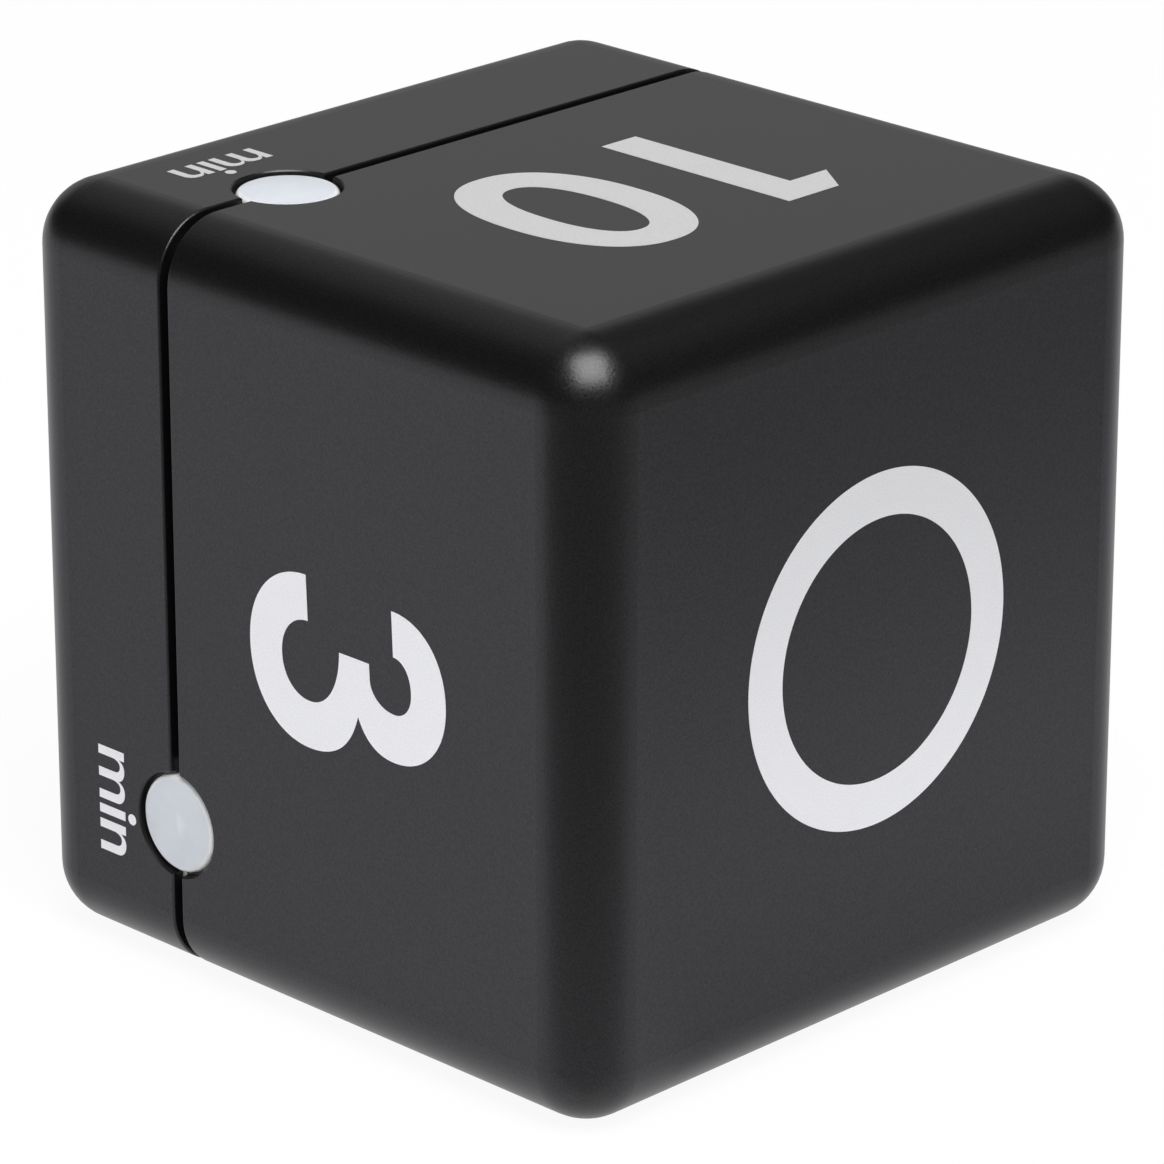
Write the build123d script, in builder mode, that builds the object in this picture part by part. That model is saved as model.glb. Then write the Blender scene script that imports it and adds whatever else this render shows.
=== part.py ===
from build123d import *

import os
from math import cos, radians, sin, tan

# Cube timer: a small cube that is laid on one of its faces to start a countdown.
# Millimetres. Origin under the middle of the cube, +Z up. The plain stop face looks to -Y and the display
# face to +Y, and the four faces round the Y axis are the time faces.

os.makedirs("parts", exist_ok=True)

# Case
edge = 62.0
edge_radius = 5.2
wall = 2.6
cover_depth = 16.6
groove_width = 0.92
groove_depth = 1.1
tongue_reach = 2.0
rim_round = 0.2
fit_gap = 0.1
run_gap = 0.15
cut_over = 1.0

half = edge / 2
inner = edge - 2 * wall
inner_half = half - wall
cover_rim_y = half - cover_depth
front_rim_y = cover_rim_y - groove_width
seam_y = (cover_rim_y + front_rim_y) / 2
rim_lip = groove_depth - fit_gap
rebate_depth = tongue_reach + fit_gap
face_inside_y = half - wall
stop_inside_y = wall - half

# Alarm light lenses, one on each time face, each across the groove
lens_offset = 18.0
lens_radius = 4.0
lens_sink = 0.2
lens_dome = 0.12
lens_edge_round = 0.4
flange_radius = 5.1
flange_thickness = 0.9
pipe_radius = 2.6
pipe_draft = 2.0
recess_radius = 4.3
recess_depth = 0.62
recess_chamfer = 0.1
faces_about_y = {"top": 0, "right": 90, "bottom": 180, "left": 270}

flange_top = groove_depth
flange_bottom = flange_top + flange_thickness

# Battery bay, sized by its cells, and the door over it
cell_length = 44.5
cell_radius = 5.25
cell_round = 0.5
nub_radius = 1.9
nub_height = 1.0
cell_gap = 0.6
cell_margin = 0.45
cell_lift = 0.1
spring_length = 4.6
contact_thickness = 0.4
bay_depth = 13.4
bay_wall = 1.4
bay_round = 0.8
door_bottom = 5.2
door_ledge = 1.0
door_thickness = 1.8
door_round = 1.2

bay_width = cell_length + spring_length + 2 * contact_thickness
bay_height = 4 * cell_radius + cell_gap + 2 * cell_margin
bay_bottom = door_bottom + door_ledge
bay_top = bay_bottom + bay_height
bay_middle = (bay_bottom + bay_top) / 2
bay_floor_y = half - bay_depth
bay_back_y = bay_floor_y - bay_wall
cell_y = bay_floor_y + cell_lift + cell_radius
cell_heights = {
    "lower": bay_middle - cell_radius - cell_gap / 2,
    "upper": bay_middle + cell_radius + cell_gap / 2,
}
door_width = bay_width + 2 * door_ledge
door_top = bay_top + door_ledge
door_inside_y = half - door_thickness
hinge_y = half - door_thickness / 2
hinge_z = door_bottom + door_thickness / 2

# Door tabs under the lower edge of the opening
tab_width = 6.0
tab_thickness = 0.8
tab_reach = 1.3
tab_spacing = 30.0
tab_play = 0.25

tab_tip_z = door_bottom - tab_reach
tab_swing = ((hinge_z - tab_tip_z) ** 2 + (door_thickness / 2) ** 2) ** 0.5
tab_pocket_y = hinge_y - tab_swing - tab_play

# Latch finger of the door: a U bent from the door's underside, with a nose under the cover's wall
latch_width = 8.0
latch_thickness = 0.9
latch_bend = 0.6
latch_drop = 4.6
latch_inset = 0.1
latch_pad_sink = 0.1
latch_nose = 0.9
latch_nose_height = 0.75
latch_play = 0.45
latch_side_gap = 0.35
latch_wall = 1.2

leg_low = bay_top - latch_inset
leg_turn = leg_low + latch_thickness + latch_bend
leg_high = leg_turn + latch_bend + latch_thickness
bend_outside = latch_bend + latch_thickness
latch_floor_y = door_inside_y - latch_drop
latch_edge_z = leg_high + latch_play
latch_roof_z = leg_high + latch_nose + tab_play
latch_room_y = latch_floor_y - tab_play
finger_dish_radius = 6.0
finger_dish_depth = 1.3

# On/off slide switch
switch_x = 15.0
switch_z = 32.8
switch_travel = 2.6
dish_length = 11.4
dish_height = 5.6
dish_depth = 0.9
dish_taper = 30.0
knob_length = 3.6
knob_height = 2.8
knob_sink = 0.25
knob_plate_thickness = 0.7
knob_plate_lap = 0.8
knob_ridge = 0.35
knob_ridge_count = 3
knob_ridge_pitch = 1.2
knob_ridge_width = 0.6
knob_ridge_draft = 0.5
switch_body_length = 9.2
switch_body_height = 3.8
switch_shell = 0.4
actuator_side = 1.4
actuator_foot_length = 3.2
actuator_foot_height = 2.2
actuator_foot_thickness = 0.8

slot_length = knob_length + switch_travel + 2 * run_gap
slot_height = knob_height + 2 * run_gap
knob_plate_height = slot_height + 2 * knob_plate_lap
knob_plate_top_y = face_inside_y - run_gap
knob_plate_low_y = knob_plate_top_y - knob_plate_thickness
switch_body_top_y = knob_plate_low_y - run_gap
knob_rest_x = switch_x - switch_travel / 2

# Display window and LCD, in the room between the switch and the top wall
frame_air_low = 0.25
frame_air_top = 0.1
frame_air_side = 6.1
frame_wall = 1.2
frame_lip = 1.4
lcd_play = 0.1
lcd_glass = 1.0
lcd_shelf = 2.4
window_lap_side = 1.0
window_lap_end = 0.5
window_round = 1.6
window_thickness = 1.4
window_sink = 0.1
window_ledge = 1.5
connector_inset = 2.0
connector_width = 1.6

frame_bottom = switch_z + knob_plate_height / 2 + frame_air_low
frame_top = edge - edge_radius - frame_air_top
frame_outer_width = inner - 2 * frame_air_side
frame_outer_height = frame_top - frame_bottom
lcd_width = frame_outer_width - 2 * (lcd_play + frame_wall)
lcd_height = frame_outer_height - 2 * (lcd_play + frame_wall)
window_z = (frame_bottom + frame_top) / 2
window_width = lcd_width - 2 * window_lap_side
window_height = lcd_height - 2 * window_lap_end
view_width = window_width - 2 * window_ledge
view_height = window_height - 2 * window_ledge
connector_length = lcd_width - 2 * connector_inset
window_seat_y = half - window_sink - window_thickness
lcd_front_y = face_inside_y - lcd_play
lcd_middle_y = lcd_front_y - lcd_glass
lcd_back_y = lcd_middle_y - lcd_glass
lcd_bottom = window_z - lcd_height / 2

# Display board behind the LCD
board_thickness = 1.6
frame_height = 3.8
board_air = 1.0
display_board_lap = 2.2
display_boss_radius = 2.0
display_boss_inset_x = 2.2
display_boss_inset_low = 6.8
display_boss_inset_high = 3.2
board_corner = 1.5
main_board_corner = 3.0

display_board_y = face_inside_y - frame_height
display_board_front_y = display_board_y - board_thickness
display_board_width = inner - 2 * board_air
display_board_bottom = switch_z - display_board_lap
display_board_top = edge - wall - board_air
display_boss_x = display_board_width / 2 - display_boss_inset_x
display_boss_heights = (
    display_board_bottom + display_boss_inset_low,
    display_board_top - display_boss_inset_high,
)

# Main board across the groove, with the lights on its edges
main_board_gap = 2.2
light_height = 2.6
light_length = 3.0
light_depth = 2.0
light_set_back = 0.2
light_mouth = 0.5
light_mouth_taper = 30.0
pipe_air = 0.3

main_board_half = inner_half - main_board_gap
main_board_y = seam_y - light_height / 2
main_board_front_y = main_board_y - board_thickness
light_face = main_board_half - light_set_back
pipe_end = half - light_face - pipe_air

# Posts of the front housing: two carry the closing screws, two carry the main board
post_x = 14.0
post_radius = 3.6
post_draft = 0.5
spigot_radius = 2.5
support_x = 12.0
support_rise = 21.0
rib_thickness = 1.2
rib_reach = 3.2
rib_height = 12.0

support_z = half + support_rise

# Screws
case_screw_radius = 1.2
case_screw_length = 10.0
case_head_radius = 2.2
case_head_height = 1.2
case_head_sink = 0.6
case_hole_play = 0.2
head_round = 0.35
pilot_extra = 1.0
board_screw_radius = 0.8
board_screw_length = 5.0
board_head_radius = 1.6
board_head_height = 1.0
thread_play = 0.05

# Closing hooks at the top of the rear cover
hook_width = 6.0
hook_spacing = 18.0
hook_thickness = 1.4
hook_reach = 7.4
hook_nose = 0.7
hook_nose_length = 1.4
hook_relief = 0.25
hook_root = 1.6

hook_tip_y = cover_rim_y - hook_reach

# Contacts and springs
contact_width = 8.4
contact_height = 9.4
tail_width = 2.0
rail_width = 0.8
rail_height = 1.0
spring_wire = 0.6
spring_radius = 2.9
spring_pitch = 1.15
seat_air = 0.02
divider_length = 18.0
divider_width = 1.6
divider_height = 2.4

# Parts on the main board
header_inset = 4.7
header_rise = 12.0
pin_count = 6
pin_pitch = 2.54
pin_side = 0.64
header_height = 2.54
socket_play = 0.1
pin_share = 0.75
buzzer_rise = 5.0
buzzer_radius = 6.0
buzzer_height = 6.5
buzzer_wall = 0.6
buzzer_hole_radius = 1.25
chip_drop = 9.0
chip_radius = 4.5
chip_height = 1.2
crystal_drop = 19.0
crystal_radius = 1.0
crystal_length = 6.0
crystal_round = 0.35
capacitor_rise = 19.5
capacitor_radius = 2.5
capacitor_height = 7.0
capacitor_round = 0.3
tilt_x = 17.0
tilt_rise = 3.0
tilt_angle = 45.0
can_radius = 2.3
can_length = 9.0
can_bore = 1.8
can_round = 0.4
ball_radius = 1.5
ball_travel = 2.0

header_x = main_board_half - header_inset
header_z = half + header_rise
buzzer_z = half + buzzer_rise
chip_z = half - chip_drop
crystal_z = half - crystal_drop
capacitor_z = half + capacitor_rise
tilt_z = half + tilt_rise


def across(y):
    """Plane across the cube at depth y: local x is +X, local y is +Z, and it faces the front, -Y."""
    return Plane(origin=(0, y, 0), x_dir=(1, 0, 0), z_dir=(0, -1, 0))


def lens_plane(turn):
    """Plane on a time face at its lens: the top face's plane, turned about the cube's Y axis."""
    turned = Plane((0, seam_y, half)).rotated((0, turn, 0))
    return Plane(turned.from_local_coords((-lens_offset, 0, half)), turned.x_dir, turned.z_dir)


def side_of(plane):
    """Plane for a profile to be turned about the given plane's normal: local y runs along that normal."""
    return Plane(plane.origin, plane.x_dir, plane.x_dir.cross(plane.z_dir))


def rounded_cup(rim_y, face_y):
    """Solid block from its open rim to its closed face, every edge rounded but those of the rim."""
    depth = abs(face_y - rim_y)
    with BuildPart() as cup:
        with Locations((0, (rim_y + face_y) / 2, half)):
            Box(edge, depth, edge)
        rim = cup.faces().sort_by(Axis.Y)[-1 if rim_y > face_y else 0]
        rim_edges = rim.edges()
        outer = [e for e in cup.edges() if e not in rim_edges]
        fillet(outer, edge_radius)
        rim = cup.faces().sort_by(Axis.Y)[-1 if rim_y > face_y else 0]
        offset(amount=-wall, openings=rim)
    return cup.part


def screw_set(plane, places, radius, length, head_radius, head_height, head_drop=0.0):
    """Pan head screws: each head stands on the plane, less head_drop, and its shank goes down."""
    seat = plane.offset(-head_drop)
    with BuildPart() as screws:
        with BuildSketch(seat):
            with Locations(*places):
                Circle(head_radius)
        extrude(amount=head_height)
        tops = screws.edges().filter_by(GeomType.CIRCLE).group_by(Axis(plane.origin, plane.z_dir))[-1]
        fillet(tops, head_round)
        with BuildSketch(seat):
            with Locations(*places):
                Circle(radius)
        extrude(amount=-length)
    return screws.part


def keep(piece, name):
    """Names a finished piece and writes it."""
    piece.label = name
    export_step(piece, f"parts/{name}.step")


lens_places = {name: lens_plane(turn) for name, turn in faces_about_y.items()}
post_places = [(-post_x, bay_middle), (post_x, bay_middle)]
support_places = [(-support_x, support_z), (support_x, support_z)]
display_boss_places = [
    (side * display_boss_x, height) for side in (-1, 1) for height in display_boss_heights
]
hook_places = [-hook_spacing / 2, hook_spacing / 2]
tab_places = [-tab_spacing / 2, tab_spacing / 2]
# rails stand on both sides of each contact: the two with tails at the right, the long link at the left
rail_step = (contact_width + rail_width) / 2 + fit_gap
rail_x = (bay_width - rail_height) / 2
rail_places = [
    (rail_x, height + side * rail_step) for height in cell_heights.values() for side in (-1, 1)
] + [
    (-rail_x, cell_heights["lower"] - rail_step),
    (-rail_x, cell_heights["upper"] + rail_step),
]

# What the lens seats take out of both housings: recess, ledge, flange pocket and pipe hole
with BuildPart() as lens_seats:
    for plane in lens_places.values():
        with BuildSketch(side_of(plane)):
            with BuildLine():
                Polyline(
                    (0, cut_over),
                    (recess_radius + recess_chamfer, cut_over),
                    (recess_radius + recess_chamfer, 0),
                    (recess_radius, -recess_chamfer),
                    (recess_radius, -recess_depth),
                    (lens_radius + fit_gap, -recess_depth),
                    (lens_radius + fit_gap, fit_gap / 2 - flange_top),
                    (flange_radius + fit_gap, fit_gap / 2 - flange_top),
                    (flange_radius + fit_gap, -fit_gap / 2 - flange_bottom),
                    (pipe_radius + fit_gap, -fit_gap / 2 - flange_bottom),
                    (pipe_radius + fit_gap, -pipe_end),
                    (0, -pipe_end),
                    close=True,
                )
            make_face()
        revolve(axis=Axis(plane.origin, plane.z_dir))

# Front housing: deep cup with the stop face, posts for the screws and the board, and hook pockets
with BuildPart() as front_housing:
    add(rounded_cup(front_rim_y, -half))
    with BuildSketch(across(front_rim_y)):
        with Locations((0, half)):
            RectangleRounded(edge - 2 * rim_lip, edge - 2 * rim_lip, edge_radius - rim_lip)
    extrude(amount=rebate_depth, mode=Mode.SUBTRACT)
    rim_face = front_housing.faces().sort_by(Axis.Y)[-1]
    fillet(rim_face.outer_wire().edges(), rim_round)

    # tapered posts, with cross ribs at their feet
    with BuildSketch(across(stop_inside_y)):
        with Locations(*post_places):
            Circle(post_radius)
    extrude(amount=stop_inside_y - main_board_front_y, taper=post_draft)
    with BuildSketch(across(main_board_front_y)):
        with Locations(*post_places):
            Circle(spigot_radius)
    extrude(amount=main_board_front_y - bay_back_y)
    with BuildSketch(across(stop_inside_y)):
        with Locations(*support_places):
            Circle(post_radius)
    extrude(amount=stop_inside_y - main_board_front_y, taper=post_draft)
    with BuildSketch(across(stop_inside_y)):
        with Locations(*post_places, *support_places):
            Rectangle(2 * (post_radius + rib_reach), rib_thickness)
            Rectangle(rib_thickness, 2 * (post_radius + rib_reach))
    extrude(amount=-rib_height)

    # pilot holes
    with BuildSketch(across(bay_back_y)):
        with Locations(*post_places):
            Circle(case_screw_radius + thread_play)
    extrude(amount=case_screw_length + pilot_extra, mode=Mode.SUBTRACT)
    with BuildSketch(across(main_board_front_y)):
        with Locations(*support_places):
            Circle(board_screw_radius + thread_play)
    extrude(amount=board_screw_length + pilot_extra, mode=Mode.SUBTRACT)

    # way in for the hooks under the top wall, and the pocket behind which each nose snaps
    for x in hook_places:
        with BuildSketch(across(front_rim_y)):
            with Locations((x, half + inner_half)):
                Rectangle(hook_width + 2 * fit_gap, 2 * hook_relief)
        extrude(amount=front_rim_y - hook_tip_y + fit_gap, mode=Mode.SUBTRACT)
        with BuildSketch(across(hook_tip_y + hook_nose_length + fit_gap)):
            with Locations((x, half + inner_half)):
                Rectangle(hook_width + 2 * fit_gap, 2 * (hook_nose + fit_gap))
        extrude(amount=hook_nose_length + 2 * fit_gap, mode=Mode.SUBTRACT)
    add(lens_seats.part, mode=Mode.SUBTRACT)
keep(front_housing.part, "front_housing")

# Rear cover: shallow cup with the display face, groove tongue, window seat and battery bay
with BuildPart() as rear_cover:
    add(rounded_cup(cover_rim_y, half))
    with BuildSketch(across(cover_rim_y)):
        with Locations((0, half)):
            RectangleRounded(
                edge - 2 * groove_depth, edge - 2 * groove_depth, edge_radius - groove_depth
            )
            RectangleRounded(inner, inner, edge_radius - wall, mode=Mode.SUBTRACT)
    extrude(amount=groove_width + tongue_reach)
    outer_rim = rear_cover.faces().filter_by(Plane.XZ).group_by(Axis.Y)[1].sort_by(SortBy.AREA)[-1]
    fillet(outer_rim.outer_wire().edges(), rim_round)

    # battery tray, with its floor and its walls
    with BuildSketch(across(face_inside_y)):
        with Locations((0, bay_middle)):
            RectangleRounded(
                bay_width + 2 * bay_wall, bay_height + 2 * bay_wall, bay_round + bay_wall
            )
    extrude(amount=face_inside_y - bay_back_y)
    # room for the latch finger above the tray, and round the tabs below it
    with BuildSketch(across(face_inside_y)):
        with Locations((0, (bay_top + latch_roof_z + latch_wall) / 2)):
            Rectangle(
                latch_width + 2 * (latch_side_gap + latch_wall),
                latch_roof_z + latch_wall - bay_top,
            )
    extrude(amount=face_inside_y - latch_room_y + latch_wall)
    for x in tab_places:
        with BuildSketch(across(face_inside_y)):
            with Locations((x, (wall + bay_bottom) / 2)):
                Rectangle(tab_width + 2 * (tab_play + bay_wall), bay_bottom - wall)
        extrude(amount=face_inside_y - tab_pocket_y + bay_wall)
    # bosses for the display board
    with BuildSketch(across(face_inside_y)):
        with Locations(*display_boss_places):
            Circle(display_boss_radius)
    extrude(amount=face_inside_y - display_board_y)
    # closing hooks along the top wall
    for x in hook_places:
        with BuildSketch(Plane.YZ.offset(x)):
            with BuildLine():
                root_y = cover_rim_y + hook_root
                top_z = half + inner_half
                Polyline(
                    (root_y, top_z),
                    (hook_tip_y + hook_nose_length, top_z),
                    (hook_tip_y + hook_nose_length, top_z + hook_nose),
                    (hook_tip_y + hook_nose_length / 2, top_z + hook_nose),
                    (hook_tip_y, top_z),
                    (hook_tip_y, top_z - hook_thickness),
                    (root_y, top_z - hook_thickness),
                    close=True,
                )
            make_face()
        extrude(amount=hook_width / 2, both=True)

    # the bay itself, open at the display face, and the seat of the door round it
    with BuildSketch(across(half)):
        with Locations((0, bay_middle)):
            RectangleRounded(bay_width, bay_height, bay_round)
    extrude(amount=bay_depth, mode=Mode.SUBTRACT)
    # its lower corners are square, so that the door's rolled edge can turn there
    with BuildSketch(across(half)):
        with Locations((0, bay_middle)):
            RectangleRounded(
                door_width + 2 * run_gap, door_top - door_bottom + 2 * run_gap, door_round
            )
        with Locations((0, (door_bottom - run_gap + bay_middle) / 2)):
            Rectangle(door_width + 2 * run_gap, bay_middle - door_bottom + run_gap)
    extrude(amount=door_thickness + fit_gap, mode=Mode.SUBTRACT)
    # latch room: narrow at the face, so that its edge holds the nose, and wider behind
    with BuildSketch(across(half)):
        with Locations((0, (bay_middle + latch_edge_z) / 2)):
            Rectangle(latch_width + 2 * latch_side_gap, latch_edge_z - bay_middle)
    extrude(amount=half - latch_room_y, mode=Mode.SUBTRACT)
    with BuildSketch(across(face_inside_y)):
        with Locations((0, (bay_middle + latch_roof_z) / 2)):
            Rectangle(latch_width + 2 * latch_side_gap, latch_roof_z - bay_middle)
    extrude(amount=face_inside_y - latch_room_y, mode=Mode.SUBTRACT)
    # finger dish beside the latch
    with Locations((0, half + finger_dish_radius - finger_dish_depth, latch_edge_z)):
        Sphere(finger_dish_radius, mode=Mode.SUBTRACT)
    # pockets in which the door's tabs lie and swing
    for x in tab_places:
        with BuildSketch(across(door_inside_y + tab_thickness + fit_gap)):
            with Locations((x, (tab_tip_z - tab_play + bay_middle) / 2)):
                Rectangle(tab_width + 2 * tab_play, bay_middle - tab_tip_z + tab_play)
        extrude(
            amount=door_inside_y + tab_thickness + fit_gap - tab_pocket_y, mode=Mode.SUBTRACT
        )

    # rails beside the contacts, and the rib between the cells
    with BuildSketch(across(bay_floor_y)):
        with Locations(*rail_places):
            Rectangle(rail_height, rail_width)
    extrude(amount=-contact_height)
    with BuildSketch(across(bay_floor_y)):
        with Locations((0, bay_middle)):
            SlotOverall(divider_length, divider_width)
    extrude(amount=-divider_height)
    # slots for the two tails that go through the floor to the main board
    with BuildSketch(across(bay_floor_y)):
        for height in cell_heights.values():
            with Locations(((bay_width - contact_thickness) / 2, height)):
                Rectangle(contact_thickness + 2 * fit_gap, tail_width + 2 * fit_gap)
    extrude(amount=bay_wall, mode=Mode.SUBTRACT)
    # sunk holes for the closing screws
    with BuildSketch(across(bay_floor_y)):
        with Locations(*post_places):
            Circle(case_head_radius + case_hole_play)
    extrude(amount=case_head_sink, mode=Mode.SUBTRACT)
    with BuildSketch(across(bay_floor_y)):
        with Locations(*post_places):
            Circle(case_screw_radius + case_hole_play)
    extrude(amount=bay_wall, mode=Mode.SUBTRACT)
    with BuildSketch(across(display_board_y)):
        with Locations(*display_boss_places):
            Circle(board_screw_radius + thread_play)
    extrude(amount=display_board_y - face_inside_y, mode=Mode.SUBTRACT)

    # window opening with its seat
    with BuildSketch(across(half)):
        with Locations((0, window_z)):
            RectangleRounded(
                window_width + 2 * fit_gap, window_height + 2 * fit_gap, window_round + fit_gap
            )
    extrude(amount=half - window_seat_y, mode=Mode.SUBTRACT)
    with BuildSketch(across(window_seat_y)):
        with Locations((0, window_z)):
            RectangleRounded(view_width, view_height, window_round)
    extrude(amount=window_seat_y - face_inside_y, mode=Mode.SUBTRACT)
    # dished slot for the on/off knob
    with BuildSketch(across(half)):
        with Locations((switch_x, switch_z)):
            SlotOverall(dish_length, dish_height)
    extrude(amount=dish_depth, taper=dish_taper, mode=Mode.SUBTRACT)
    with BuildSketch(across(half)):
        with Locations((switch_x, switch_z)):
            Rectangle(slot_length, slot_height)
    extrude(amount=wall, mode=Mode.SUBTRACT)
    add(lens_seats.part, mode=Mode.SUBTRACT)
keep(rear_cover.part, "rear_cover")

# Alarm light lenses: domed button, flange in the housings' pocket, and a pipe that brings the light
for name, plane in lens_places.items():
    with BuildPart() as lens:
        with BuildSketch(side_of(plane)):
            with BuildLine():
                crown = (0, lens_dome - lens_sink)
                shoulder = (lens_radius - lens_edge_round, -lens_sink)
                RadiusArc(crown, shoulder, (shoulder[0] ** 2 + lens_dome**2) / (2 * lens_dome))
                rim = (lens_radius, -lens_sink - lens_edge_round)
                RadiusArc(shoulder, rim, lens_edge_round)
                Polyline(
                    rim,
                    (lens_radius, -flange_top),
                    (flange_radius, -flange_top),
                    (flange_radius, -flange_bottom),
                    (pipe_radius, -flange_bottom),
                    (pipe_radius - (pipe_end - flange_bottom) * tan(radians(pipe_draft)), -pipe_end),
                    (0, -pipe_end),
                    crown,
                )
            make_face()
        revolve(axis=Axis(plane.origin, plane.z_dir))
    keep(lens.part, f"light_lens_{name}")

    # light on the main board's edge, behind that lens
    with BuildPart() as light:
        mouth = plane.offset(-(half - light_face))
        with BuildSketch(mouth):
            Rectangle(light_length, light_height)
        extrude(amount=-light_depth)
        with BuildSketch(mouth):
            Rectangle(light_length - light_mouth, light_height - light_mouth)
        extrude(amount=-light_mouth, taper=light_mouth_taper, mode=Mode.SUBTRACT)
    keep(light.part, f"alarm_light_{name}")

# Display window
with BuildPart() as display_window:
    with BuildSketch(across(window_seat_y)):
        with Locations((0, window_z)):
            RectangleRounded(window_width, window_height, window_round)
    extrude(amount=-window_thickness)
    chamfer(display_window.faces().sort_by(Axis.Y)[-1].edges(), fit_gap)
keep(display_window.part, "display_window")

# LCD: two glass plates, the rear one shorter, which leaves the contact shelf at the bottom
with BuildPart() as lcd_panel:
    with BuildSketch(across(lcd_front_y)):
        with Locations((0, window_z)):
            Rectangle(lcd_width, lcd_height)
    extrude(amount=lcd_glass)
    with BuildSketch(across(lcd_middle_y)):
        with Locations((0, window_z + lcd_shelf / 2)):
            Rectangle(lcd_width, lcd_height - lcd_shelf)
    extrude(amount=lcd_glass)
keep(lcd_panel.part, "lcd_panel")

# Frame that holds the LCD against the cover's face
with BuildPart() as lcd_frame:
    with BuildSketch(across(face_inside_y)):
        with Locations((0, window_z)):
            RectangleRounded(frame_outer_width, frame_outer_height, frame_wall)
    extrude(amount=frame_height)
    with BuildSketch(across(face_inside_y)):
        with Locations((0, window_z)):
            Rectangle(lcd_width + 2 * lcd_play, lcd_height + 2 * lcd_play)
    extrude(amount=face_inside_y - lcd_back_y + lcd_play, mode=Mode.SUBTRACT)
    with BuildSketch(across(lcd_back_y)):
        with Locations((0, window_z + lcd_shelf / 2)):
            Rectangle(lcd_width - 2 * frame_lip, lcd_height - lcd_shelf - 2 * frame_lip)
        with Locations((0, lcd_bottom + lcd_shelf / 2)):
            Rectangle(connector_length + 2 * lcd_play, connector_width + 2 * lcd_play)
    extrude(amount=frame_height, mode=Mode.SUBTRACT)
keep(lcd_frame.part, "lcd_frame")

# Elastomer strip between the LCD's shelf and the display board
with BuildPart() as elastomer_connector:
    with BuildSketch(across(lcd_middle_y)):
        with Locations((0, lcd_bottom + lcd_shelf / 2)):
            Rectangle(connector_length, connector_width)
    extrude(amount=lcd_middle_y - display_board_y)
keep(elastomer_connector.part, "elastomer_connector")

# Display board, notched round the latch room
with BuildPart() as display_board:
    with BuildSketch(across(display_board_y)):
        with Locations((0, (display_board_bottom + display_board_top) / 2)):
            RectangleRounded(
                display_board_width, display_board_top - display_board_bottom, board_corner
            )
        with Locations((0, display_board_bottom)):
            Rectangle(
                latch_width + 2 * (latch_side_gap + latch_wall + run_gap),
                2 * (latch_roof_z + latch_wall + run_gap - display_board_bottom),
                mode=Mode.SUBTRACT,
            )
        with Locations(*display_boss_places):
            Circle(board_screw_radius + case_hole_play, mode=Mode.SUBTRACT)
    extrude(amount=board_thickness)
keep(display_board.part, "display_board")

keep(
    screw_set(
        across(display_board_front_y),
        display_boss_places,
        board_screw_radius,
        board_thickness + frame_height - fit_gap,
        board_head_radius,
        board_head_height,
    ),
    "display_board_screws",
)
keep(
    screw_set(
        Plane((0, main_board_y, 0), (1, 0, 0), (0, 1, 0)),
        [(x, -z) for x, z in support_places],
        board_screw_radius,
        board_thickness + board_screw_length,
        board_head_radius,
        board_head_height,
    ),
    "main_board_screws",
)
keep(
    screw_set(
        Plane((0, bay_floor_y, 0), (1, 0, 0), (0, 1, 0)),
        [(x, -z) for x, z in post_places],
        case_screw_radius,
        case_screw_length,
        case_head_radius,
        case_head_height,
        case_head_sink,
    ),
    "case_screws",
)

# Slide switch: a metal shell with the slot its actuator runs in
with BuildPart() as slide_switch_body:
    with BuildSketch(across(display_board_y)):
        with Locations((switch_x, switch_z)):
            Rectangle(switch_body_length, switch_body_height)
    extrude(amount=display_board_y - switch_body_top_y)
    with BuildSketch(across(display_board_y + switch_shell)):
        with Locations((switch_x, switch_z)):
            Rectangle(
                switch_body_length - 2 * switch_shell, switch_body_height - 2 * switch_shell
            )
    extrude(
        amount=display_board_y + 2 * switch_shell - switch_body_top_y, mode=Mode.SUBTRACT
    )
    with BuildSketch(across(switch_body_top_y)):
        with Locations((switch_x, switch_z)):
            Rectangle(
                actuator_side + switch_travel + 2 * run_gap, actuator_side + 2 * run_gap
            )
    extrude(amount=2 * switch_shell, mode=Mode.SUBTRACT)
keep(slide_switch_body.part, "slide_switch_body")

# Actuator: a foot inside the shell, and a square stem that stands into the knob
actuator_foot_y = display_board_y + switch_shell + run_gap
actuator_top_y = knob_plate_top_y
with BuildPart() as switch_actuator:
    with BuildSketch(across(actuator_foot_y)):
        with Locations((knob_rest_x, switch_z)):
            Rectangle(actuator_foot_length, actuator_foot_height)
    extrude(amount=-actuator_foot_thickness)
    with BuildSketch(across(actuator_foot_y)):
        with Locations((knob_rest_x, switch_z)):
            Rectangle(actuator_side, actuator_side)
    extrude(amount=actuator_foot_y - actuator_top_y)
keep(switch_actuator.part, "switch_actuator")

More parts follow.
